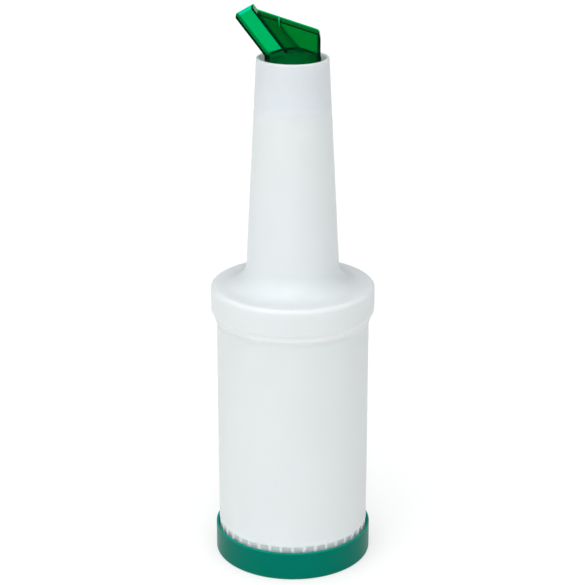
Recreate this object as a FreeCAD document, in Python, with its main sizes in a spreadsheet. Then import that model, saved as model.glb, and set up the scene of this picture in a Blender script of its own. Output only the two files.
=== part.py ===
import FreeCAD, Part

import math
import os

import Sketcher

# A one-litre pour bottle in four moulded pieces: a jar, a long tapered neck that screws on it,
# a clear green pour spout pressed into the neck's mouth, and the jar's storage lid, pushed on its foot.
# Millimetres, +Z up, origin on the axis at the underside of the lid. The spout points to -X.

SIZES = [
    # the lid under the jar
    ("lidWall", 1.5, "side wall"),
    ("lidHeight", 17.4, "underside to rim"),
    ("lidFloor", 2.0, "floor under the jar"),
    ("lidFit", 0.45, "gap from the jar's grip ribs to the lid's bore"),
    ("lidFootWidth", 7.0, "width of the ring the lid stands on"),
    ("lidFootHeight", 0.6, "how far that ring stands below the floor"),
    ("lidFootRound", 1.1, "outer bottom edge"),
    ("lidRimRound", 0.4, "edges of the rim"),
    # the jar
    ("jarRadius", 44.9, "outside of the straight wall"),
    ("jarWall", 1.8, "wall everywhere"),
    ("jarFloor", 2.2, "bottom"),
    ("gripDepth", 1.1, "how far the grip band lies inside the wall"),
    ("gripShow", 3.0, "grip band that shows above the lid's rim"),
    ("gripEdgeRound", 1.2, "bottom corner of the jar"),
    ("ribWidth", 2.1, "one grip rib"),
    ("ribLift", 3.0, "ribs start this far above the jar's bottom"),
    ("ribCount", 40, "grip ribs"),
    ("standWidth", 4.5, "ring that the jar stands on"),
    ("pushUpHeight", 1.6, "how far the middle of the bottom is raised"),
    ("pushUpSlope", 3.0, "radial width of the slope up to it"),
    ("barrelHeight", 127.8, "straight wall, grip band to flare"),
    ("flareHeight", 5.0, "flare below the collar"),
    ("flareReach", 1.7, "how far the flare stands out from the wall"),
    ("flareBlend", 8.0, "curve from the straight wall into the flare"),
    ("seamRound", 0.25, "edges that face each other at the collar, and the grip band's step"),
    ("finishDepth", 2.0, "threaded mouth inside the flare's edge"),
    # the thread between jar and collar
    ("threadPitch", 5.0, "rise in one turn"),
    ("threadTurns", 1.5, "length of each ridge in turns"),
    ("threadReach", 1.1, "ridge height"),
    ("threadRoot", 2.2, "ridge thickness at its root"),
    ("threadCrest", 1.0, "ridge thickness at its crest"),
    ("threadStart", 2.6, "centre of the jar's ridge above the flare"),
    ("threadFit", 0.4, "gap from each crest to the wall facing it"),
    # the neck
    ("collarHeight", 18.07, "collar, bottom edge to shoulder"),
    ("collarReach", 1.5, "how far the collar stands out from the flare"),
    ("collarGap", 0.13, "gap between the collar and the flare"),
    ("collarRound", 2.6, "outer edge of the shoulder"),
    ("collarSlope", 2.8, "height of the slope under the collar's side"),
    ("collarSlopeDepth", 1.3, "radial width of that slope"),
    ("collarSlopeRound", 1.2, "edge between the slope and the side"),
    ("shoulderWall", 2.0, "shoulder"),
    ("neckBaseRadius", 27.7, "cone at the shoulder, outside"),
    ("neckMouthRadius", 20.7, "cone at the mouth, outside"),
    ("neckHeight", 134.55, "shoulder to mouth"),
    ("neckWall", 2.0, "cone wall"),
    ("neckBlend", 13.0, "curve from the shoulder into the cone"),
    ("mouthWall", 2.0, "wall around the straight bore at the mouth"),
    ("boreDepth", 23.0, "mouth to the seat of the spout"),
    ("seatWidth", 1.6, "ledge that the spout stands on"),
    ("seatHeight", 1.6, "ledge thickness"),
    ("seatTaper", 4.0, "height of the slope under the ledge"),
    ("mouthRound", 0.8, "rim of the mouth"),
    # the plug of the spout
    ("plugGap", 2.7, "skirt to bore, bridged by the seal ribs"),
    ("plugWall", 1.4, "skirt"),
    ("plugSink", 0.2, "edge of the dome below the mouth"),
    ("domeRise", 5.2, "dome, edge to top"),
    ("domeWall", 1.5, "dome"),
    ("sealFit", 0.1, "gap from the seal ribs to the bore"),
    ("sealHeight", 1.4, "one seal rib"),
    ("sealSpacing", 6.0, "seal rib to seal rib"),
    ("sealCount", 3, "seal ribs"),
    # the blade above it: a slanted pour tube with a fin behind it
    ("bladeThickness", 14.0, "front face to back face"),
    ("bladeRound", 0.35, "edges of the blade"),
    ("tubeAngle", 53.0, "pour tube above level, in degrees"),
    ("tubeDepth", 11.1, "tube across, underside to back"),
    ("tubeWall", 1.2, "tube"),
    ("tubeInset", 1.984, "tube's underside from the dome's edge, at its level"),
    ("tubeRise", 23.4, "lower tip above the mouth"),
    ("tipAngle", 29.5, "cut of the tip above level, in degrees"),
    ("finStep", 3.9, "tip to the fin along the tube's back"),
    ("finSlope", 18.4, "fall of the fin's top, in degrees"),
    ("finInset", 0.5, "straight edge of the fin from the dome's edge"),
    ("finRound", 3.0, "outer top corner of the fin"),
    ("finTopWall", 1.2, "top of the fin"),
    ("finEndWall", 1.8, "straight edge of the fin"),
    ("finPlate", 2.6, "front and back of the fin, outer pocket"),
    ("finInnerPlate", 3.5, "front and back of the fin, pocket beside the tube"),
    # the air vent inside the fin
    ("ventOffset", 7.75, "vent's opening, out from the axis"),
    ("ventRun", 2.0, "straight run under the opening"),
    ("ventBend", 4.9, "bend, on the middle of the vent"),
    ("ventAngle", 50.4, "lower run above level, in degrees"),
    ("ventGap", 0.9, "width of the air gap"),
    ("ventWall", 0.55, "web at each side of it"),
    ("ventPlate", 1.8, "front and back of the vent"),
    # cuts start and end this far outside what they cut
    ("overcut", 3.0, "overrun of a cut"),
]

# Levels and lines that several pieces share, as expressions on the sheet.
gripTop = "(Sizes.lidHeight + Sizes.gripShow)"
flareFoot = f"({gripTop} + Sizes.barrelHeight)"
flareTop = f"({flareFoot} + Sizes.flareHeight)"
collarFoot = f"({flareTop} + Sizes.collarGap)"
shoulder = f"({collarFoot} + Sizes.collarHeight)"
ceiling = f"({shoulder} - Sizes.shoulderWall)"
mouth = f"({shoulder} + Sizes.neckHeight)"
seat = f"({mouth} - Sizes.boreDepth)"

flareRadius = "(Sizes.jarRadius + Sizes.flareReach)"
collarRadius = f"({flareRadius} + Sizes.collarReach)"
gripRadius = "(Sizes.jarRadius - Sizes.gripDepth)"
jarBore = "(Sizes.jarRadius - Sizes.jarWall)"
finishRadius = f"({flareRadius} - Sizes.finishDepth)"
finishBore = f"({finishRadius} - Sizes.jarWall)"
collarBore = f"({finishRadius} + Sizes.threadReach + Sizes.threadFit)"
lidBore = "(Sizes.jarRadius + Sizes.lidFit)"
lidRadius = f"({lidBore} + Sizes.lidWall)"

boreRadius = "(Sizes.neckMouthRadius - Sizes.mouthWall)"
plugRadius = f"({boreRadius} - Sizes.plugGap)"
plugBore = f"({plugRadius} - Sizes.plugWall)"
domeEdge = f"({mouth} - Sizes.plugSink)"
cutFoot = f"({domeEdge} - Sizes.overcut)"
tipLevel = f"({mouth} + Sizes.tubeRise)"
tubeFoot = f"({plugRadius} - Sizes.tubeInset)"
tubeReach = f"({tubeFoot} + ({tipLevel} - {domeEdge}) / tan(Sizes.tubeAngle))"
finReach = f"({plugRadius} - Sizes.finInset)"


def originPlane(body, role):
    """The body's own origin plane or axis with this role."""
    return next(item for item in body.Origin.OriginFeatures if item.Role == role)


class Drawing:
    """A parametric document whose sketches are bound to the sheet of sizes."""

    def __init__(self, name, sizes):
        self.doc = FreeCAD.newDocument(name)
        self.sheet = self.doc.addObject("Spreadsheet::Sheet", "Sizes")
        for row, (alias, size, note) in enumerate(sizes, start=1):
            self.sheet.set(f"A{row}", alias)
            self.sheet.set(f"B{row}", str(size))
            self.sheet.set(f"C{row}", note)
            self.sheet.setAlias(f"B{row}", alias)
        self.doc.recompute()

    def value(self, expression):
        """What an expression on the sheet gives now, in millimetres or degrees."""
        return float(self.sheet.evalExpression(expression))

    def body(self, label):
        body = self.doc.addObject("PartDesign::Body", label)
        body.Label = label
        body.Placement = FreeCAD.Placement()
        return body

    def sketch(self, body, name):
        """An empty sketch on the body's upright XZ plane: x is radius or X, y is Z."""
        sketch = body.newObject("Sketcher::SketchObject", name)
        sketch.AttachmentSupport = [(originPlane(body, "XZ_Plane"), "")]
        sketch.MapMode = "FlatFace"
        return sketch

    def bind(self, sketch, kind, where, expression):
        """A constraint whose size follows an expression on the sheet."""
        index = sketch.addConstraint(Sketcher.Constraint(kind, *where, self.value(expression)))
        sketch.setExpression(f"Constraints[{index}]", expression)

    def side(self, sketch, here, there, bend):
        """One side of an outline, straight or an arc; returns its first and last end."""
        start = FreeCAD.Vector(*here, 0)
        stop = FreeCAD.Vector(*there, 0)
        if bend is None:
            return sketch.addGeometry(Part.LineSegment(start, stop), False), 1, 2
        radius, turn = self.value(bend[0]), bend[1]
        half = (stop - start) * 0.5
        toCentre = math.sqrt(max(radius**2 - half.Length**2, 0.0))
        across = FreeCAD.Vector(-half.y, half.x, 0).normalize()
        centre = start + half + across * (toCentre * turn)
        first, last = (start, stop) if turn > 0 else (stop, start)
        angles = [math.atan2(end.y - centre.y, end.x - centre.x) for end in (first, last)]
        if angles[1] < angles[0]:
            angles[1] += 2 * math.pi
        circle = Part.Circle(centre, FreeCAD.Vector(0, 0, 1), radius)
        index = sketch.addGeometry(Part.ArcOfCircle(circle, *angles), False)
        self.bind(sketch, "Radius", (index,), bend[0])
        return (index, 1, 2) if turn > 0 else (index, 2, 1)

    def outline(self, body, name, corners):
        """A closed outline. A corner is (x, z), or (x, z, radius, turn) where an arc leaves it:
        turn is 1 for an arc that turns left on its way to the next corner, -1 for right."""
        sketch = self.sketch(body, name)
        spots = [(self.value(corner[0]), self.value(corner[1])) for corner in corners]
        sides = []
        for index, corner in enumerate(corners):
            bend = corner[2:] if len(corner) == 4 else None
            sides.append(self.side(sketch, spots[index], spots[(index + 1) % len(spots)], bend))
        for index, (edge, first, last) in enumerate(sides):
            follower, start, _ = sides[(index + 1) % len(sides)]
            sketch.addConstraint(Sketcher.Constraint("Coincident", edge, last, follower, start))
            self.bind(sketch, "DistanceX", (-1, 1, edge, first), corners[index][0])
            self.bind(sketch, "DistanceY", (-1, 1, edge, first), corners[index][1])
        return sketch

    def revolve(self, body, name, corners, kind="PartDesign::Revolution"):
        """Turns an outline about Z, adding it, or cutting it as a PartDesign::Groove."""
        sketch = self.outline(body, name + "Outline", corners)
        feature = body.newObject(kind, name)
        feature.Profile = sketch
        feature.ReferenceAxis = (sketch, ["V_Axis"])
        feature.Angle = 360.0
        return self.settle(feature)

    def plate(self, body, name, corners, thickness, kind="PartDesign::Pad"):
        """A flat plate, or a PartDesign::Pocket, evenly to both sides of the XZ plane."""
        sketch = self.outline(body, name + "Outline", corners)
        feature = body.newObject(kind, name)
        feature.Profile = sketch
        feature.SideType = "Symmetric"
        feature.Length = self.value(thickness)
        feature.setExpression("Length", thickness)
        return self.settle(feature)

    def ridge(self, body, name, corners):
        """A screw ridge: the outline swept along a helix about Z."""
        sketch = self.outline(body, name + "Outline", corners)
        feature = body.newObject("PartDesign::AdditiveHelix", name)
        feature.Profile = sketch
        feature.ReferenceAxis = (sketch, ["V_Axis"])
        feature.Mode = "pitch-turns-angle"
        feature.setExpression("Pitch", "Sizes.threadPitch")
        feature.setExpression("Turns", "Sizes.threadTurns")
        return self.settle(feature)

    def fillet(self, body, name, radius, chosen):
        """Rounds the edges of the body's last feature that chosen(edge) picks."""
        base = body.Tip
        names = [f"Edge{i}" for i, edge in enumerate(base.Shape.Edges, start=1) if chosen(edge)]
        if not names:
            raise ValueError(f"{name} finds no edge")
        feature = body.newObject("PartDesign::Fillet", name)
        feature.Base = (base, names)
        feature.Radius = self.value(radius)
        feature.setExpression("Radius", radius)
        return self.settle(feature)

    def ringEdge(self, *rings):
        """Picks round edges about Z by (radius, level)."""
        wanted = [(self.value(radius), self.value(level)) for radius, level in rings]

        def chosen(edge):
            if not isinstance(edge.Curve, Part.Circle):
                return False
            centre = edge.Curve.Center
            if math.hypot(centre.x, centre.y) > 0.01:
                return False
            return any(
                abs(edge.Curve.Radius - radius) < 0.01 and abs(centre.z - level) < 0.01
                for radius, level in wanted
            )

        return chosen

    def settle(self, feature):
        """Recomputes, and stops if the feature failed."""
        self.doc.recompute()
        if "Invalid" in feature.State or "Error" in feature.State:
            raise RuntimeError(f"{feature.Name} failed")
        return feature


def makeLid(drawing):
    """The jar's storage lid, pushed on its foot: a shallow cup that stands on a narrow ring."""
    body = drawing.body("base_lid")
    footBore = f"({lidRadius} - Sizes.lidFootWidth)"
    corners = [
        ("0", "Sizes.lidFootHeight"),
        (footBore, "Sizes.lidFootHeight"),
        (footBore, "0"),
        (lidRadius, "0"),
        (lidRadius, "Sizes.lidHeight"),
        (lidBore, "Sizes.lidHeight"),
        (lidBore, "Sizes.lidFloor"),
        ("0", "Sizes.lidFloor"),
    ]
    drawing.revolve(body, "LidCup", corners)
    drawing.fillet(body, "LidFootRound", "Sizes.lidFootRound", drawing.ringEdge((lidRadius, "0")))
    rim = drawing.ringEdge((lidRadius, "Sizes.lidHeight"), (lidBore, "Sizes.lidHeight"))
    drawing.fillet(body, "LidRimRound", "Sizes.lidRimRound", rim)
    return body


def makeJar(drawing):
    """The jar: a ribbed grip band inside the lid, a straight wall, a flare and a threaded mouth."""
    body = drawing.body("jar")
    foot = "Sizes.lidFloor"
    gripBore = f"({gripRadius} - Sizes.jarWall)"
    pushUp = f"({foot} + Sizes.pushUpHeight)"
    pushUpEdge = f"({gripRadius} - Sizes.standWidth - Sizes.pushUpSlope)"
    floor = f"({pushUp} + Sizes.jarFloor)"
    stepFoot = f"({gripTop} + Sizes.jarWall)"
    stepHead = f"({stepFoot} + Sizes.gripDepth)"
    flareShare = "((Sizes.flareHeight - Sizes.jarWall) / Sizes.flareHeight)"
    flareBore = f"({jarBore} + Sizes.flareReach * {flareShare})"
    shelf = f"({flareTop} - Sizes.jarWall)"
    corners = [
        ("0", pushUp),
        (pushUpEdge, pushUp),
        (f"({pushUpEdge} + Sizes.pushUpSlope)", foot),
        (gripRadius, foot),
        (gripRadius, gripTop),
        ("Sizes.jarRadius", gripTop),
        ("Sizes.jarRadius", flareFoot),
        (flareRadius, flareTop),
        (finishRadius, flareTop),
        (finishRadius, ceiling),
        (finishBore, ceiling),
        (finishBore, shelf),
        (flareBore, shelf),
        (jarBore, flareFoot),
        (jarBore, stepHead),
        (gripBore, stepFoot),
        (gripBore, floor),
        ("0", floor),
    ]
    drawing.revolve(body, "JarWall", corners)
    drawing.fillet(body, "JarFootRound", "Sizes.gripEdgeRound", drawing.ringEdge((gripRadius, foot)))
    edge = drawing.ringEdge(("Sizes.jarRadius", flareFoot), (jarBore, flareFoot))
    drawing.fillet(body, "FlareBlend", "Sizes.flareBlend", edge)
    edge = drawing.ringEdge((flareRadius, flareTop), ("Sizes.jarRadius", gripTop))
    drawing.fillet(body, "FlareRound", "Sizes.seamRound", edge)

    root = f"({gripRadius} - Sizes.jarWall / 2)"
    ribFoot = f"({foot} + Sizes.ribLift)"
    ribCorners = [
        (root, f"({ribFoot} - Sizes.gripDepth)"),
        (gripRadius, f"({ribFoot} - Sizes.gripDepth)"),
        ("Sizes.jarRadius", ribFoot),
        ("Sizes.jarRadius", gripTop),
        (root, gripTop),
    ]
    rib = drawing.plate(body, "GripRib", ribCorners, "Sizes.ribWidth")
    ribs = body.newObject("PartDesign::PolarPattern", "GripRibs")
    ribs.Originals = [rib]
    ribs.Axis = (originPlane(body, "Z_Axis"), [""])
    ribs.Angle = 360.0
    ribs.setExpression("Occurrences", "Sizes.ribCount")
    body.Tip = ribs
    drawing.settle(ribs)

    inner = f"({finishRadius} - Sizes.jarWall / 2)"
    crest = f"({finishRadius} + Sizes.threadReach)"
    middle = f"({flareTop} + Sizes.threadStart)"
    drawing.ridge(body, "JarThread", ridgeCorners(inner, finishRadius, crest, middle))
    return body


def ridgeCorners(buried, face, crest, middle):
    """A ridge's section: a root sunk in the wall, the wall's face, and a narrower crest."""
    corners = []
    for radius, thickness in ((buried, "threadRoot"), (face, "threadRoot"), (crest, "threadCrest")):
        corners.append((radius, f"({middle} - Sizes.{thickness} / 2)"))
    for radius, thickness in ((crest, "threadCrest"), (face, "threadRoot"), (buried, "threadRoot")):
        corners.append((radius, f"({middle} + Sizes.{thickness} / 2)"))
    return corners


def makeNeck(drawing):
    """The neck: a threaded collar, a flat shoulder and a long cone with the spout's bore on top."""
    body = drawing.body("neck")
    seatBore = f"({boreRadius} - Sizes.seatWidth)"
    seatFoot = f"({seat} - Sizes.seatHeight)"
    coneHead = f"({seatFoot} - Sizes.seatTaper)"
    coneRate = "((Sizes.neckBaseRadius - Sizes.neckMouthRadius) / Sizes.neckHeight)"
    coneHeadBore = f"(Sizes.neckMouthRadius - Sizes.neckWall + ({mouth} - {coneHead}) * {coneRate})"
    coneFootBore = "(Sizes.neckBaseRadius - Sizes.neckWall)"
    slopeFoot = f"({collarRadius} - Sizes.collarSlopeDepth)"
    slopeHead = f"({collarFoot} + Sizes.collarSlope)"
    corners = [
        (collarBore, collarFoot),
        (slopeFoot, collarFoot),
        (collarRadius, slopeHead),
        (collarRadius, shoulder),
        ("Sizes.neckBaseRadius", shoulder),
        ("Sizes.neckMouthRadius", mouth),
        (boreRadius, mouth),
        (boreRadius, seat),
        (seatBore, seat),
        (seatBore, seatFoot),
        (coneHeadBore, coneHead),
        (coneFootBore, ceiling),
        (collarBore, ceiling),
    ]
    drawing.revolve(body, "NeckWall", corners)
    edge = drawing.ringEdge((collarRadius, shoulder))
    drawing.fillet(body, "ShoulderRound", "Sizes.collarRound", edge)
    edge = drawing.ringEdge(("Sizes.neckBaseRadius", shoulder), (coneFootBore, ceiling))
    drawing.fillet(body, "NeckBlend", "Sizes.neckBlend", edge)
    edge = drawing.ringEdge(("Sizes.neckMouthRadius", mouth), (boreRadius, mouth))
    drawing.fillet(body, "MouthRound", "Sizes.mouthRound", edge)
    edge = drawing.ringEdge((slopeFoot, collarFoot))
    drawing.fillet(body, "CollarFootRound", "Sizes.seamRound", edge)
    edge = drawing.ringEdge((collarRadius, slopeHead))
    drawing.fillet(body, "CollarSlopeRound", "Sizes.collarSlopeRound", edge)

    buried = f"(({collarBore} + {collarRadius}) / 2)"
    crest = f"({collarBore} - Sizes.threadReach)"
    middle = f"({flareTop} + Sizes.threadStart + Sizes.threadPitch / 2)"
    drawing.ridge(body, "CollarThread", ridgeCorners(buried, collarBore, crest, middle))
    return body


def tubeLine(level, across):
    """X on a line along the tube at this level, so far across it from its underside."""
    run = f"({level} - {tipLevel}) / tan(Sizes.tubeAngle)"
    return f"(-{tubeReach} - {run} + {across} / sin(Sizes.tubeAngle))"


def finTop(reach, below="0"):
    """The level of the fin's top at this X, or of a line so far below it."""
    fall = f"({reach} - {finHead[0]}) * tan(Sizes.finSlope)"
    return f"({finHead[1]} - {fall} - ({below}) / cos(Sizes.finSlope))"


# The tip's upper corner lies where the tube's back meets the cut of the tip.
tipSpan = "(Sizes.tubeDepth / sin(Sizes.tubeAngle + Sizes.tipAngle))"
tipTop = (
    f"(-{tubeReach} + {tipSpan} * cos(Sizes.tipAngle))",
    f"({tipLevel} + {tipSpan} * sin(Sizes.tipAngle))",
)
# The fin starts a step down the tube's back from there.
finHead = (
    f"({tipTop[0]} + Sizes.finStep * cos(Sizes.tubeAngle))",
    f"({tipTop[1]} - Sizes.finStep * sin(Sizes.tubeAngle))",
)


def ventSide(across, below):
    """One side of the vent's curved path, from its head down to its foot inside the plug.

    It lies so far across from the middle, towards +X, and its head so far below the fin's top."""
    headX = f"(-Sizes.ventOffset + {across})"
    radius = f"(Sizes.ventBend - {across})"
    bendLevel = f"({finTop('(-Sizes.ventOffset)')} - Sizes.ventRun)"
    bendX = f"(Sizes.ventBend - Sizes.ventOffset - {radius} * sin(Sizes.ventAngle))"
    bendZ = f"({bendLevel} - {radius} * cos(Sizes.ventAngle))"
    footX = f"({bendX} + ({bendZ} - {cutFoot}) / tan(Sizes.ventAngle))"
    head, bendStart, bendEnd, foot = (
        (headX, finTop(headX, below)),
        (headX, bendLevel),
        (bendX, bendZ),
        (footX, cutFoot),
    )
    down = [head, (*bendStart, radius, 1), bendEnd, foot]
    up = [foot, (*bendEnd, radius, -1), bendStart, head]
    return down, up


def makeSpout(drawing):
    """The pour spout: a hollow plug with a dome, and on it a flat blade of tube, vent and fin."""
    body = drawing.body("spout")

    # The blade's outline, with its foot sunk in the dome's edge.
    bladeFoot = f"({domeEdge} - Sizes.domeWall)"
    cornerReach = f"({finReach} - Sizes.finRound * (1 - sin(Sizes.finSlope)))"
    cornerDrop = f"({finTop(finReach)} - Sizes.finRound * tan(45 - Sizes.finSlope / 2))"
    corners = [
        (tubeLine(bladeFoot, "0"), bladeFoot),
        (finReach, bladeFoot),
        (finReach, cornerDrop, "Sizes.finRound", 1),
        (cornerReach, finTop(cornerReach)),
        finHead,
        tipTop,
        (f"(-{tubeReach})", tipLevel),
    ]
    drawing.plate(body, "Blade", corners, "Sizes.bladeThickness")
    face = drawing.value("Sizes.bladeThickness / 2")
    foot = drawing.value(bladeFoot)

    def outerEdge(edge):
        spots = [vertex.Point for vertex in edge.Vertexes]
        flat = all(abs(abs(spot.y) - face) < 0.01 for spot in spots)
        along = abs(spots[0].y - spots[-1].y) < 0.01
        return flat and along and any(spot.z > foot + 0.01 for spot in spots)

    drawing.fillet(body, "BladeRound", "Sizes.bladeRound", outerEdge)

    # The plug and its dome, then the seal ribs down its skirt.
    domeTop = f"({domeEdge} + Sizes.domeRise)"
    domeRadius = f"(({plugRadius}^2 + Sizes.domeRise^2) / (2 * Sizes.domeRise))"
    plugCorners = [
        ("0", seat),
        (plugRadius, seat),
        (plugRadius, domeEdge, domeRadius, 1),
        ("0", domeTop),
    ]
    drawing.revolve(body, "Plug", plugCorners)
    sealRadius = f"({boreRadius} - Sizes.sealFit)"
    sealRoot = f"({plugRadius} - Sizes.plugWall / 2)"
    sealCorners = [
        (sealRoot, seat),
        (sealRadius, seat),
        (sealRadius, f"({seat} + Sizes.sealHeight)"),
        (sealRoot, f"({seat} + Sizes.sealHeight)"),
    ]
    seal = drawing.revolve(body, "SealRib", sealCorners)
    seals = body.newObject("PartDesign::LinearPattern", "SealRibs")
    seals.Originals = [seal]
    seals.Direction = (originPlane(body, "Z_Axis"), [""])
    seals.setExpression("Length", "Sizes.sealSpacing * (Sizes.sealCount - 1)")
    seals.setExpression("Occurrences", "Sizes.sealCount")
    body.Tip = seals
    drawing.settle(seals)

    # Two pockets hollow the fin and leave its plates, its top, its end and the vent's web.
    # Both open into the plug.
    web = "(Sizes.ventGap / 2 + Sizes.ventWall)"
    toPartition = "(Sizes.finTopWall / sin(Sizes.tubeAngle - Sizes.finSlope))"
    innerPocket = ventSide(f"(-{web})", "Sizes.finTopWall")[0] + [
        (tubeLine(cutFoot, "Sizes.tubeDepth"), cutFoot),
        (
            f"({finHead[0]} + {toPartition} * cos(Sizes.tubeAngle))",
            f"({finHead[1]} - {toPartition} * sin(Sizes.tubeAngle))",
        ),
    ]
    innerDepth = "Sizes.bladeThickness - 2 * Sizes.finInnerPlate"
    drawing.plate(body, "InnerPocket", innerPocket, innerDepth, "PartDesign::Pocket")
    endFace = f"({finReach} - Sizes.finEndWall)"
    outerPocket = ventSide(web, "Sizes.finTopWall")[1] + [
        (endFace, finTop(endFace, "Sizes.finTopWall")),
        (endFace, cutFoot),
    ]
    outerDepth = "Sizes.bladeThickness - 2 * Sizes.finPlate"
    drawing.plate(body, "OuterPocket", outerPocket, outerDepth, "PartDesign::Pocket")

    # The vent's air gap runs down the middle of the web, from the fin's top into the plug.
    vent = ventSide("(-Sizes.ventGap / 2)", "-Sizes.overcut")[0]
    vent += ventSide("(Sizes.ventGap / 2)", "-Sizes.overcut")[1]
    ventDepth = "Sizes.bladeThickness - 2 * Sizes.ventPlate"
    drawing.plate(body, "Vent", vent, ventDepth, "PartDesign::Pocket")

    # The pour channel runs the whole tube, from the plug out through the tip.
    beyondTip = f"({tipTop[1]} + Sizes.overcut)"
    back = "(Sizes.tubeDepth - Sizes.tubeWall)"
    channel = [
        (tubeLine(cutFoot, "Sizes.tubeWall"), cutFoot),
        (tubeLine(cutFoot, back), cutFoot),
        (tubeLine(beyondTip, back), beyondTip),
        (tubeLine(beyondTip, "Sizes.tubeWall"), beyondTip),
    ]
    channelDepth = "Sizes.bladeThickness - 2 * Sizes.tubeWall"
    drawing.plate(body, "Channel", channel, channelDepth, "PartDesign::Pocket")

    # The plug is open below; its roof follows the dome.
    roofRadius = f"({domeRadius} - Sizes.domeWall)"
    roofEdge = f"({domeTop} - {domeRadius} + sqrt({roofRadius}^2 - {plugBore}^2))"
    underSeat = f"({seat} - Sizes.overcut)"
    hollow = [
        ("0", underSeat),
        (plugBore, underSeat),
        (plugBore, roofEdge, roofRadius, 1),
        ("0", f"({domeTop} - Sizes.domeWall)"),
    ]
    drawing.revolve(body, "PlugHollow", hollow, "PartDesign::Groove")
    return body


def check(drawing, bodies):
    """Stops unless every object is up to date and every piece is one valid solid."""
    for item in drawing.doc.Objects:
        if "Invalid" in item.State or "Error" in item.State:
            raise RuntimeError(f"{item.Label} is not up to date: {item.State}")
    for body in bodies:
        if body.Shape.isNull() or not body.Shape.isValid() or len(body.Shape.Solids) != 1:
            raise RuntimeError(f"{body.Label} is not one valid solid")


def main():
    drawing = Drawing("PourBottle", SIZES)
    bodies = [make(drawing) for make in (makeLid, makeJar, makeNeck, makeSpout)]
    check(drawing, bodies)
    os.makedirs("parts", exist_ok=True)
    for body in bodies:
        body.Shape.exportStep(f"parts/{body.Label}.step")
        print(f"{body.Label}: {body.Shape.Volume / 1000:.1f} cm3")


main()
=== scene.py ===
import math

import bpy
from mathutils import Euler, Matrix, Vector


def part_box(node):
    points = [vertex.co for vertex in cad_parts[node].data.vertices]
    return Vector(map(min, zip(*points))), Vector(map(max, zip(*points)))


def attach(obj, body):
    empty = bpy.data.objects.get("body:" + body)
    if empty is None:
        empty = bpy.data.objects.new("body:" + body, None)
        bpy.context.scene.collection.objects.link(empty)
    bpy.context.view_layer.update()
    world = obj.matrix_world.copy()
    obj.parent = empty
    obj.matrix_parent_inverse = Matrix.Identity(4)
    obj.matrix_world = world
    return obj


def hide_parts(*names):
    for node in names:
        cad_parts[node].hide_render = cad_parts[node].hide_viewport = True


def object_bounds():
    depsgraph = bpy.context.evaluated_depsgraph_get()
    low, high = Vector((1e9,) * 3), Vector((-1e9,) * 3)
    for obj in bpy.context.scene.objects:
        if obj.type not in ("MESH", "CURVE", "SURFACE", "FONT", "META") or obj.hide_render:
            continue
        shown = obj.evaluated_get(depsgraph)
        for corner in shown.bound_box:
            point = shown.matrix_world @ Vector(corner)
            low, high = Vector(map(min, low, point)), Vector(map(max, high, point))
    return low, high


# A one-litre pour bottle: milky jar and neck, clear green pour spout, solid green base lid.

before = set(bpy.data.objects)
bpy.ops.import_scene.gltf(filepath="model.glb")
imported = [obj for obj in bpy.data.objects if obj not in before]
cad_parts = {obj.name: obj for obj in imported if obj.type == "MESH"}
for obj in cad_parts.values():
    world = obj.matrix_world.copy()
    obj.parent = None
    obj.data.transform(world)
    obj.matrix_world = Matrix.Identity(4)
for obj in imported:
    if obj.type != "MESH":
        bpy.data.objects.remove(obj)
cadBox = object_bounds()
mm = 0.001
print("frame loaded:", ", ".join(sorted(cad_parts)))


def levels(node):
    # a CAD node's foot, head and outer radius, in millimetres
    low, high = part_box(node)
    return low.z / mm, high.z / mm, high.x / mm


lidFoot, lidRim, lidRadius = levels("base_lid")
jarFoot, jarHead, flareRadius = levels("jar")
flareTop = 153.2      # the jar's flare ends and the collar begins at this height
collarFoot, mouth, collarRadius = levels("neck")


class Wire:
    # a shader socket that adds, subtracts and multiplies like a number
    def __init__(self, paint, socket):
        self.paint = paint
        self.socket = socket

    def join(self, operation, *others):
        values = dict(enumerate(others))
        return self.paint.node("ShaderNodeMath", {"operation": operation}, values)["Value"]

    def __add__(self, other):
        return self.join("ADD", self, other)

    def __radd__(self, other):
        return self.join("ADD", other, self)

    def __sub__(self, other):
        return self.join("SUBTRACT", self, other)

    def __rsub__(self, other):
        return self.join("SUBTRACT", other, self)

    def __mul__(self, other):
        return self.join("MULTIPLY", self, other)

    def __rmul__(self, other):
        return self.join("MULTIPLY", other, self)

    def power(self, other):
        return self.join("POWER", self, other)

    def atLeast(self, other):
        return self.join("MAXIMUM", self, other)


class Made:
    # a shader node whose outputs are read by name
    def __init__(self, paint, node):
        self.paint = paint
        self.node = node

    def __getitem__(self, name):
        return Wire(self.paint, self.node.outputs[name])


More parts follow.
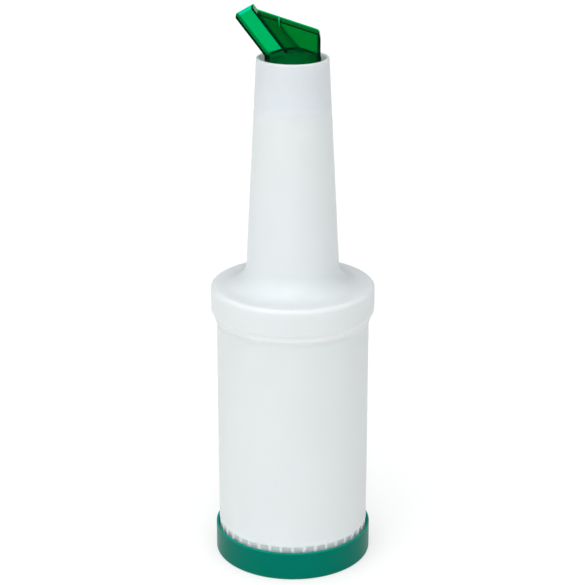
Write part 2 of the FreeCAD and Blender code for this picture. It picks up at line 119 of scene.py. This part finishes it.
class Paint:
    # one material or world: node() adds any node, settings first and then its sockets
    def __init__(self, owner):
        self.owner = bpy.data.materials.new(owner) if isinstance(owner, str) else owner
        self.owner.use_nodes = True
        self.tree = self.owner.node_tree
        self.tree.nodes.clear()

    def node(self, kind, settings=None, sockets=None):
        node = self.tree.nodes.new(kind)
        for name, setting in (settings or {}).items():
            setattr(node, name, setting)
        for name, value in (sockets or {}).items():
            if isinstance(value, Wire):
                self.tree.links.new(value.socket, node.inputs[name])
            else:
                node.inputs[name].default_value = value
        return Made(self, node)

    def place(self):
        return self.node("ShaderNodeTexCoord")["Object"]

    def height(self):
        return self.node("ShaderNodeSeparateXYZ", None, {"Vector": self.place()})["Z"]

    def radius(self):
        # the distance from the upright axis
        sockets = {"Vector": self.place(), "Scale": (1, 1, 0)}
        flat = self.node("ShaderNodeMapping", None, sockets)["Vector"]
        return self.node("ShaderNodeVectorMath", {"operation": "LENGTH"}, {0: flat})["Value"]

    def rise(self, value, start, end):
        # 0 up to the start, 1 from the end on; both in millimetres
        sockets = {"Value": value, "From Min": start * mm, "From Max": end * mm}
        settings = {"interpolation_type": "SMOOTHSTEP"}
        return self.node("ShaderNodeMapRange", settings, sockets)["Result"]

    def noise(self, scale, detail):
        sockets = {"Vector": self.place(), "Scale": scale, "Detail": detail}
        return self.node("ShaderNodeTexNoise", None, sockets)["Fac"]

    def blend(self, factor, first, second):
        # a Mix node's colours are its sockets 6 and 7 and its output 2
        sockets = {0: factor, 6: first, 7: second}
        mixed = self.node("ShaderNodeMix", {"data_type": "RGBA"}, sockets)
        return Wire(self, mixed.node.outputs[2])

    def bump(self, height, strength, distance):
        sockets = {"Height": height, "Strength": strength, "Distance": distance}
        return self.node("ShaderNodeBump", None, sockets)["Normal"]

    def moulded(self, facts):
        # a moulded skin: faint flow clouds in its colour and gloss, and a fine grain
        clouds = self.noise(facts["cloudScale"], facts["cloudDetail"])
        grain = self.noise(facts["grainScale"], facts["grainDetail"])
        colour = self.blend(clouds, facts["shade"], facts["light"])
        return colour, {
            "Roughness": facts["roughness"] + (clouds - noiseMiddle) * facts["roughnessPlay"],
            "Normal": self.bump(grain, facts["grainStrength"], facts["grainDepth"]),
        }

    def finish(self, sockets, volume=None, cover=None):
        # a cover is (how much of it shows, its sockets)
        surface = self.node("ShaderNodeBsdfPrincipled", None, sockets)["BSDF"]
        if cover is not None:
            shows, upperSockets = cover
            upper = self.node("ShaderNodeBsdfPrincipled", None, upperSockets)["BSDF"]
            layers = {0: shows, 1: surface, 2: upper}
            surface = self.node("ShaderNodeMixShader", None, layers)["Shader"]
        outputs = {"Surface": surface}
        if volume is not None:
            outputs["Volume"] = volume
        self.node("ShaderNodeOutputMaterial", None, outputs)
        return self.owner


noiseMiddle = 0.5
milky = {
    "light": (0.8, 0.9, 0.99, 1),
    "shade": (0.78, 0.885, 0.975, 1),
    # painted shade: a darker colour on the neck's outer face below the mouth
    "lip": (0.68, 0.73, 0.77, 1),
    "lipHeight": 33.0,
    "lipBlend": 9.0,
    "lipSkin": (18.9, 20.2),
    "roughness": 0.42,
    "roughnessPlay": 0.12,
    "cloudScale": 18.0,
    "cloudDetail": 3.0,
    "grainScale": 900.0,
    "grainDetail": 2.0,
    "grainStrength": 0.08,
    "grainDepth": 0.0001,
    "subsurface": 1.0,
    "scatter": (1.0, 1.0, 1.0),
    "neckReach": 0.0065,
    "jarReach": 0.006,
    # painted light: the plain skin along the joint takes this colour, so no shade shows in the
    # joint
    "joint": (0.735, 0.765, 0.77, 1),
    "jointReach": (1.0, 3.0),
}


def makeMilky(name, reach):
    # milky polyethylene: light comes through the wall, except in a band along the joint, which
    # gets painted light so no shade shows there; painted shade darkens the neck's outer face
    # below the mouth
    paint = Paint(name)
    colour, skin = paint.moulded(milky)
    height = paint.height()
    # painted shade: darker towards the mouth, on the outer face only
    lipFoot = mouth - milky["lipHeight"]
    lip = paint.rise(height, lipFoot, lipFoot + milky["lipBlend"])
    lip = lip * paint.rise(paint.radius(), *milky["lipSkin"])
    # painted light: a band along the joint gets a plain skin of its own colour, hiding the shade
    # that gathers there
    near, far = milky["jointReach"]
    above = paint.rise(height, flareTop + near, flareTop + far)
    joint = paint.rise(height, flareTop - far, flareTop - near) * (1.0 - above)
    wall = {
        "Base Color": paint.blend(lip, colour, milky["lip"]),
        "Subsurface Weight": milky["subsurface"],
        "Subsurface Radius": milky["scatter"],
        "Subsurface Scale": reach,
    }
    band = {"Base Color": milky["joint"]}
    return paint.finish(wall | skin, cover=(joint, band | skin))


lidGreen = {
    "light": (0.001, 0.163, 0.113, 1),
    "shade": (0.0005, 0.139, 0.097, 1),
    # painted highlight: a lighter green along the rim's top edge
    "rim": (0.002, 0.26, 0.185, 1),
    "rimHeight": 1.2,
    "tint": (0.02, 0.5, 0.35, 1),
    "gloss": 0.07,
    "roughness": 0.34,
    "roughnessPlay": 0.1,
    "cloudScale": 30.0,
    "cloudDetail": 3.0,
    "grainScale": 1100.0,
    "grainDetail": 2.0,
    "grainStrength": 0.1,
    "grainDepth": 0.0001,
}


def makeLidGreen():
    # solid green polypropylene, satin, with a painted highlight along the rim
    paint = Paint("lidGreen")
    colour, skin = paint.moulded(lidGreen)
    # painted highlight: lighter towards the top of the rim
    rim = paint.rise(paint.height(), lidRim - lidGreen["rimHeight"], lidRim)
    return paint.finish({
        "Base Color": paint.blend(rim, colour, lidGreen["rim"]),
        "Specular IOR Level": lidGreen["gloss"],
        "Specular Tint": lidGreen["tint"],
    } | skin)


spoutGreen = {
    "tint": (0.0, 0.85, 0.45, 1),
    "skin": (0.0, 0.97, 0.85, 1),
    "clearness": 0.99,
    "density": 2800.0,
    "passes": (0.0, 0.887, 0.729, 1),
    "index": 1.04,
    "roughness": 0.05,
    "roughnessPlay": 0.03,
    "rippleScale": 160.0,
    "rippleDetail": 2.0,
    "rippleStrength": 0.05,
    "rippleDepth": 0.0002,
}


def makeSpoutGreen():
    # clear green plastic, tinted through its thickness
    paint = Paint("spoutGreen")
    ripple = paint.noise(spoutGreen["rippleScale"], spoutGreen["rippleDetail"])
    absorb = {"Color": spoutGreen["passes"], "Density": spoutGreen["density"]}
    volume = paint.node("ShaderNodeVolumeAbsorption", None, absorb)["Volume"]
    return paint.finish({
        "Base Color": spoutGreen["skin"],
        "Roughness": spoutGreen["roughness"] + ripple * spoutGreen["roughnessPlay"],
        "IOR": spoutGreen["index"],
        "Transmission Weight": spoutGreen["clearness"],
        "Specular Tint": spoutGreen["tint"],
        "Normal": paint.bump(ripple, spoutGreen["rippleStrength"], spoutGreen["rippleDepth"]),
    }, volume)


finishes = {
    "milkyJar": makeMilky("milkyJar", milky["jarReach"]),
    "milkyNeck": makeMilky("milkyNeck", milky["neckReach"]),
    "lidGreen": makeLidGreen(),
    "spoutGreen": makeSpoutGreen(),
}
print("materials made:", len(finishes))


class Tree:
    # a Geometry Nodes tree with named inputs; node() gives back the new node's first output
    def __init__(self, name, inputs):
        self.group = bpy.data.node_groups.new(name, "GeometryNodeTree")
        doors = self.group.interface
        doors.new_socket("Geometry", in_out="INPUT", socket_type="NodeSocketGeometry")
        for label, kind in inputs.items():
            doors.new_socket(label, in_out="INPUT", socket_type="NodeSocket" + kind)
        doors.new_socket("Geometry", in_out="OUTPUT", socket_type="NodeSocketGeometry")
        self.given = self.group.nodes.new("NodeGroupInput").outputs

    def node(self, kind, settings=None, sockets=None):
        node = self.group.nodes.new(kind)
        for name, setting in (settings or {}).items():
            setattr(node, name, setting)
        for name, value in (sockets or {}).items():
            for part in value if isinstance(value, list) else [value]:
                if isinstance(part, bpy.types.NodeSocket):
                    self.group.links.new(part, node.inputs[name])
                else:
                    node.inputs[name].default_value = part
        return node.outputs[0] if node.outputs else None

    def reckon(self, operation, first, second):
        return self.node("ShaderNodeMath", {"operation": operation}, {0: first, 1: second})

    def vector(self, x=0.0, y=0.0, z=0.0):
        return self.node("ShaderNodeCombineXYZ", None, {"X": x, "Y": y, "Z": z})


turning = {
    "ringSteps": 240,
    "threadSteps": 120,
    "cornerSteps": 7,
    "ribCornerSteps": 3,
    "spindle": 10.0,      # the radius that the outline is swept at, before it is put in its place
    "weld": 0.001,
    "sharpAngle": 35.0,
}
turnedInputs = {"Corner steps": "Int", "Ring steps": "Int", "Material": "Material"}
ribInputs = {
    "Rib count": "Int",
    "Rib width": "Float",
    "Rib depth": "Float",
    "Rib radius": "Float",
    "Rib softness": "Float",
    "Rib foot": "Float",
    "Rib head": "Float",
}
threadInputs = {
    "Thread pitch": "Float",
    "Thread turns": "Float",
    "Thread radius": "Float",
    "Thread depth": "Float",
    "Thread root": "Float",
    "Thread crest": "Float",
    "Thread foot": "Float",
    "Thread facing": "Float",
}


def turnOutline(tree):
    # rounds the outline's corners by their own radii and turns it about the upright axis
    spindle = turning["spindle"] * mm
    given = tree.given
    softness = tree.node("GeometryNodeInputRadius")
    sockets = {"Curve": given["Geometry"], "Count": given["Corner steps"], "Radius": softness}
    outline = tree.node("GeometryNodeFilletCurve", {"mode": "POLY"}, sockets)
    moved = {"Geometry": outline, "Translation": (-spindle, 0, 0), "Scale": (1, -1, 1)}
    outline = tree.node("GeometryNodeTransform", None, moved)
    sockets = {"Resolution": given["Ring steps"], "Radius": spindle}
    ring = tree.node("GeometryNodeCurvePrimitiveCircle", {"mode": "RADIUS"}, sockets)
    wall = tree.node("GeometryNodeCurveToMesh", None, {"Curve": ring, "Profile Curve": outline})
    wall = tree.node("GeometryNodeFlipFaces", None, {"Mesh": wall})
    sockets = {"Geometry": wall, "Distance": turning["weld"] * mm}
    return tree.node("GeometryNodeMergeByDistance", None, sockets)


def setRibs(tree):
    # upright ribs with soft edges, evenly round the foot
    given = tree.given
    sockets = {"Width": given["Rib width"], "Height": given["Rib depth"]}
    section = tree.node("GeometryNodeCurvePrimitiveQuadrilateral", {"mode": "RECTANGLE"}, sockets)
    sockets = {
        "Curve": section,
        "Count": turning["ribCornerSteps"],
        "Radius": given["Rib softness"],
    }
    section = tree.node("GeometryNodeFilletCurve", {"mode": "POLY"}, sockets)
    ends = {"Start": tree.vector(z=given["Rib foot"]), "End": tree.vector(z=given["Rib head"])}
    line = tree.node("GeometryNodeCurvePrimitiveLine", {"mode": "POINTS"}, ends)
    sockets = {"Curve": line, "Normal": (0, 1, 0)}
    line = tree.node("GeometryNodeSetCurveNormal", {"mode": "FREE"}, sockets)
    sockets = {"Curve": line, "Profile Curve": section, "Fill Caps": True}
    rib = tree.node("GeometryNodeCurveToMesh", None, sockets)
    sockets = {"Vertices": given["Rib count"], "Radius": given["Rib radius"]}
    spots = tree.node("GeometryNodeMeshCircle", None, sockets)
    step = tree.reckon("DIVIDE", 2 * math.pi, given["Rib count"])
    turn = tree.reckon("MULTIPLY", step, tree.node("GeometryNodeInputIndex"))
    sockets = {"Points": spots, "Instance": rib, "Rotation": tree.vector(z=turn)}
    return tree.node("GeometryNodeInstanceOnPoints", None, sockets)


def setThread(tree):
    # one screw ridge, a flat-topped section along a rising spiral
    given = tree.given
    radius = given["Thread radius"]
    sockets = {
        "Resolution": turning["threadSteps"],
        "Rotations": given["Thread turns"],
        "Start Radius": radius,
        "End Radius": radius,
        "Height": tree.reckon("MULTIPLY", given["Thread pitch"], given["Thread turns"]),
        "Reverse": True,
    }
    spiral = tree.node("GeometryNodeCurveSpiral", None, sockets)
    spiral = tree.node("GeometryNodeSetCurveNormal", {"mode": "Z_UP"}, {"Curve": spiral})
    sockets = {
        "Height": given["Thread depth"],
        "Bottom Width": given["Thread root"],
        "Top Width": given["Thread crest"],
        "Offset": 0.0,
    }
    section = tree.node("GeometryNodeCurvePrimitiveQuadrilateral", {"mode": "TRAPEZOID"}, sockets)
    sockets = {"Geometry": section, "Rotation": tree.vector(z=given["Thread facing"])}
    section = tree.node("GeometryNodeTransform", None, sockets)
    sockets = {"Curve": spiral, "Profile Curve": section, "Fill Caps": True}
    ridge = tree.node("GeometryNodeCurveToMesh", None, sockets)
    sockets = {"Geometry": ridge, "Translation": tree.vector(z=given["Thread foot"])}
    return tree.node("GeometryNodeTransform", None, sockets)


def closeTree(tree, shapes):
    # joins the shapes to one skin, shades it smooth between its sharp corners and coats it
    realize = "GeometryNodeRealizeInstances"
    body = [tree.node(realize, None, {"Geometry": shape}) for shape in shapes]
    if len(body) > 1:
        settings = {"operation": "UNION", "solver": "MANIFOLD"}
        body = [tree.node("GeometryNodeMeshBoolean", settings, {"Mesh 2": body})]
    body = tree.node(realize, None, {"Geometry": body})
    sockets = {"Geometry": body, "Shade Smooth": True}
    body = tree.node("GeometryNodeSetShadeSmooth", {"domain": "FACE"}, sockets)
    bend = tree.node("GeometryNodeInputMeshEdgeAngle")
    corner = tree.reckon("GREATER_THAN", bend, math.radians(turning["sharpAngle"]))
    sockets = {"Geometry": body, "Selection": corner, "Shade Smooth": False}
    body = tree.node("GeometryNodeSetShadeSmooth", {"domain": "EDGE"}, sockets)
    sockets = {"Geometry": body, "Material": tree.given["Material"]}
    body = tree.node("GeometryNodeSetMaterial", None, sockets)
    tree.node("NodeGroupOutput", None, {"Geometry": body})


def drawOutline(corners, closed):
    # a corner is (radius, height) or (radius, height, rounding), in millimetres
    curve = bpy.data.curves.new("outline", "CURVE")
    spline = curve.splines.new("POLY")
    spline.points.add(len(corners) - 1)
    for point, (radius, height, *rounding) in zip(spline.points, corners):
        point.co = (radius * mm, height * mm, 0, 1)
        point.radius = rounding[0] * mm if rounding else 0.0
    spline.use_cyclic_u = closed
    outline = bpy.data.objects.new("outline", curve)
    bpy.context.collection.objects.link(outline)
    return outline


def makeTurned(name, node, finish, outline, tree, sizes):
    # runs the tree on the outline and puts the plain mesh in the CAD node's place
    values = {
        "Corner steps": turning["cornerSteps"],
        "Ring steps": turning["ringSteps"],
        "Material": finishes[finish],
        **sizes,
    }
    modifier = outline.modifiers.new(name, "NODES")
    modifier.node_group = tree.group
    for door in tree.group.interface.items_tree:
        if door.in_out == "INPUT" and door.name in values:
            modifier[door.identifier] = values[door.name]
    made = outline.evaluated_get(bpy.context.evaluated_depsgraph_get())
    mesh = bpy.data.meshes.new_from_object(made)
    mesh.name = name
    piece = bpy.data.objects.new(name, mesh)
    bpy.context.collection.objects.link(piece)
    bpy.data.objects.remove(outline)
    even = piece.modifiers.new("evenShading", "WEIGHTED_NORMAL")
    even.keep_sharp = True
    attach(piece, "root")
    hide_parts(node)
    print(name, "made:", len(mesh.polygons), "faces")


lid = {
    "wall": 1.5,
    "floor": 2.0,
    "standWidth": 7.0,
    "standHeight": 0.6,
    "footRound": 1.1,
    "rimRound": 0.5,
}


def makeLid():
    bore = lidRadius - lid["wall"]
    standBore = lidRadius - lid["standWidth"]
    corners = [
        (0, lid["standHeight"]),
        (standBore, lid["standHeight"]),
        (standBore, lidFoot),
        (lidRadius, lidFoot, lid["footRound"]),
        (lidRadius, lidRim, lid["rimRound"]),
        (bore, lidRim, lid["rimRound"]),
        (bore, lid["floor"]),
        (0, lid["floor"]),
    ]
    tree = Tree("turned lid", turnedInputs)
    closeTree(tree, [turnOutline(tree)])
    outline = drawOutline(corners, False)
    makeTurned("lid_cup", "base_lid", "lidGreen", outline, tree, {})


jar = {
    "radius": 44.9,
    "wall": 1.8,
    "floor": 2.2,
    "footRound": 1.2,
    "gripDepth": 1.1,
    "gripTop": 20.4,
    "gripRound": 0.45,
    "flareFoot": 148.2,
    "flareBlend": 8.0,
    "flareReach": 1.7,
    "flareRound": 0.1,
    "standWidth": 4.5,
    "pushUpHeight": 1.6,
    "pushUpSlope": 3.0,
    "ribCount": 40,
    "ribWidth": 2.1,
    "ribSoftness": 0.35,
    "ribSink": 0.12,      # the ribs' faces lie this far inside the straight wall
    "ribLift": 3.0,
}
screw = {
    "pitch": 5.0,
    "turns": 1.5,
    "depth": 1.1,
    "root": 2.2,
    "crest": 1.0,
    "start": 2.6,
    "sunk": 0.9,
    "mouthDepth": 2.0,
    "fit": 0.4,
}
flareEdge = jar["radius"] + jar["flareReach"]
mouthRadius = flareEdge - screw["mouthDepth"]
collarBore = mouthRadius + screw["depth"] + screw["fit"]


def screwSizes(radius, foot, outward):
    # the ridge's middle lies so far from the wall's face that its root is sunk in the wall
    side = 1 if outward else -1
    depth = screw["depth"] + screw["sunk"]
    return {
        "Thread pitch": screw["pitch"] * mm,
        "Thread turns": screw["turns"],
        "Thread radius": (radius + side * (depth / 2 - screw["sunk"])) * mm,
        "Thread depth": depth * mm,
        "Thread root": screw["root"] * mm,
        "Thread crest": screw["crest"] * mm,
        "Thread foot": foot * mm,
        "Thread facing": math.radians(-90 * side),
    }


def makeJar():
    gripRadius = jar["radius"] - jar["gripDepth"]
    gripBore = gripRadius - jar["wall"]
    bore = jar["radius"] - jar["wall"]
    pushUpEdge = gripRadius - jar["standWidth"] - jar["pushUpSlope"]
    pushUp = jarFoot + jar["pushUpHeight"]
    floor = pushUp + jar["floor"]
    stepFoot = jar["gripTop"] + jar["wall"]
    shelf = flareTop - jar["wall"]
    rise = (shelf - jar["flareFoot"]) / (flareTop - jar["flareFoot"])
    mouthBore = mouthRadius - jar["wall"]
    corners = [
        (0, pushUp),
        (pushUpEdge, pushUp),
        (pushUpEdge + jar["pushUpSlope"], jarFoot),
        (gripRadius, jarFoot, jar["footRound"]),
        (gripRadius, jar["gripTop"]),
        (jar["radius"], jar["gripTop"], jar["gripRound"]),
        (jar["radius"], jar["flareFoot"], jar["flareBlend"]),
        (flareEdge, flareTop, jar["flareRound"]),
        (mouthRadius, flareTop),
        (mouthRadius, jarHead),
        (mouthBore, jarHead),
        (mouthBore, shelf),
        (bore + jar["flareReach"] * rise, shelf),
        (bore, jar["flareFoot"], jar["flareBlend"]),
        (bore, stepFoot + jar["gripDepth"]),
        (gripBore, stepFoot),
        (gripBore, floor),
        (0, floor),
    ]
    ribFace = jar["radius"] - jar["ribSink"]
    ribRoot = gripRadius - jar["wall"] / 2
    sizes = {
        "Rib count": jar["ribCount"],
        "Rib width": jar["ribWidth"] * mm,
        "Rib depth": (ribFace - ribRoot) * mm,
        "Rib radius": (ribFace + ribRoot) / 2 * mm,
        "Rib softness": jar["ribSoftness"] * mm,
        "Rib foot": (jarFoot + jar["ribLift"]) * mm,
        "Rib head": (jar["gripTop"] + jar["wall"] / 2) * mm,
        **screwSizes(mouthRadius, flareTop + screw["start"], True),
    }
    tree = Tree("ribbed jar", turnedInputs | ribInputs | threadInputs)
    closeTree(tree, [turnOutline(tree), setRibs(tree), setThread(tree)])
    outline = drawOutline(corners, False)
    makeTurned("jar_wall", "jar", "milkyJar", outline, tree, sizes)


neck = {
    "collarRound": 2.6,
    "slopeHeight": 2.8,
    "slopeRound": 1.2,
    "footRound": 0.1,
    "seamGap": 0.02,
    "shoulder": 171.4,
    "shoulderWall": 2.0,
    "baseRadius": 27.7,
    "mouthRadius": 20.7,
    "wall": 2.0,
    "blend": 13.0,
    "boreDepth": 23.0,
    "seatWidth": 1.6,
    "seatHeight": 1.6,
    "seatTaper": 4.0,
    "mouthRound": 0.8,
}


def makeNeck():
    seam = flareTop + neck["seamGap"]
    shoulder = neck["shoulder"]
    ceiling = shoulder - neck["shoulderWall"]
    bore = neck["mouthRadius"] - neck["wall"]
    seat = mouth - neck["boreDepth"]
    seatBore = bore - neck["seatWidth"]
    seatFoot = seat - neck["seatHeight"]
    coneHead = seatFoot - neck["seatTaper"]
    taper = (neck["baseRadius"] - neck["mouthRadius"]) / (mouth - shoulder)
    coneHeadBore = bore + (mouth - coneHead) * taper
    corners = [
        (collarBore, seam),
        (flareRadius, seam, neck["footRound"]),
        (collarRadius, collarFoot + neck["slopeHeight"], neck["slopeRound"]),
        (collarRadius, shoulder, neck["collarRound"]),
        (neck["baseRadius"], shoulder, neck["blend"]),
        (neck["mouthRadius"], mouth, neck["mouthRound"]),
        (bore, mouth, neck["mouthRound"]),
        (bore, seat),
        (seatBore, seat),
        (seatBore, seatFoot),
        (coneHeadBore, coneHead),
        (neck["baseRadius"] - neck["wall"], ceiling, neck["blend"]),
        (collarBore, ceiling),
    ]
    foot = flareTop + screw["start"] + screw["pitch"] / 2
    sizes = screwSizes(collarBore, foot, False)
    tree = Tree("turned neck", turnedInputs | threadInputs)
    closeTree(tree, [turnOutline(tree), setThread(tree)])
    outline = drawOutline(corners, True)
    makeTurned("neck_wall", "neck", "milkyNeck", outline, tree, sizes)


makeLid()
makeJar()
makeNeck()

# the clear spout keeps its CAD shape
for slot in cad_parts["spout"].material_slots:
    slot.material = finishes["spoutGreen"]
print("spout coated")


studio = {
    "floorSize": 30.0,
    "floorColour": (0.5, 0.5, 0.5, 1),
    "floorRoughness": 0.9,
    "floorShine": (1.0, 1.0, 1.0, 1),
    "floorGlow": 0.52,
    "glows": {
        "front": {"azimuth": 0.0, "elevation": 30.0, "spread": 3.0, "strength": 1.55},
        "overhead": {"azimuth": 0.0, "elevation": 75.0, "spread": 3.0, "strength": 1.5},
        "left": {"azimuth": -55.0, "elevation": 25.0, "spread": 3.0, "strength": 0.85},
        "back": {"azimuth": 180.0, "elevation": 60.0, "spread": 6.0, "strength": 1.1},
    },
}


def makeFloor():
    half = studio["floorSize"] / 2
    level = cadBox[0].z
    corners = [
        (-half, -half, level),
        (half, -half, level),
        (half, half, level),
        (-half, half, level),
    ]
    mesh = bpy.data.meshes.new("floor")
    mesh.from_pydata(corners, [], [(0, 1, 2, 3)])
    floor = bpy.data.objects.new("floor", mesh)
    bpy.context.collection.objects.link(floor)
    paint = Paint("floorPaper")
    mesh.materials.append(paint.finish({
        "Base Color": studio["floorColour"],
        "Roughness": studio["floorRoughness"],
        "Emission Color": studio["floorShine"],
        "Emission Strength": studio["floorGlow"],
    }))


def heading(facts):
    # the direction towards a light: azimuth 0 is the camera's side, negative to its left
    turn = math.radians(facts["azimuth"])
    rise = math.radians(facts["elevation"])
    reach = math.cos(rise)
    return Vector((math.sin(turn) * reach, -math.cos(turn) * reach, math.sin(rise)))


def makeWorld():
    # a soft dome of broad glows, one for each light
    world = bpy.data.worlds.new("studio")
    world.use_nodes = True
    sky = Paint(world)
    way = sky.node("ShaderNodeTexCoord")["Generated"]
    glow = 0.0
    for facts in studio["glows"].values():
        sockets = {0: way, 1: heading(facts)}
        facing = sky.node("ShaderNodeVectorMath", {"operation": "DOT_PRODUCT"}, sockets)["Value"]
        glow = facing.atLeast(0.0).power(facts["spread"]) * facts["strength"] + glow
    background = sky.node("ShaderNodeBackground", None, {"Strength": glow})["Background"]
    sky.node("ShaderNodeOutputWorld", None, {"Surface": background})
    bpy.context.scene.world = world
    bpy.context.scene.view_settings.view_transform = "Standard"


view = {
    "place": (0.0, -0.99885, 0.52803),
    "pitch": 19.967,
    "lens": 111.12,
    "sensor": 36.0,
    "shift": -0.0005,
}


def makeCamera():
    data = bpy.data.cameras.new("camera")
    data.lens = view["lens"]
    data.sensor_width = view["sensor"]
    data.shift_x = view["shift"]
    camera = bpy.data.objects.new("camera", data)
    camera.location = view["place"]
    camera.rotation_euler = Euler((math.radians(90 - view["pitch"]), 0, 0))
    bpy.context.collection.objects.link(camera)
    bpy.context.scene.camera = camera


makeFloor()
makeWorld()
makeCamera()
print("floor, light and camera set")
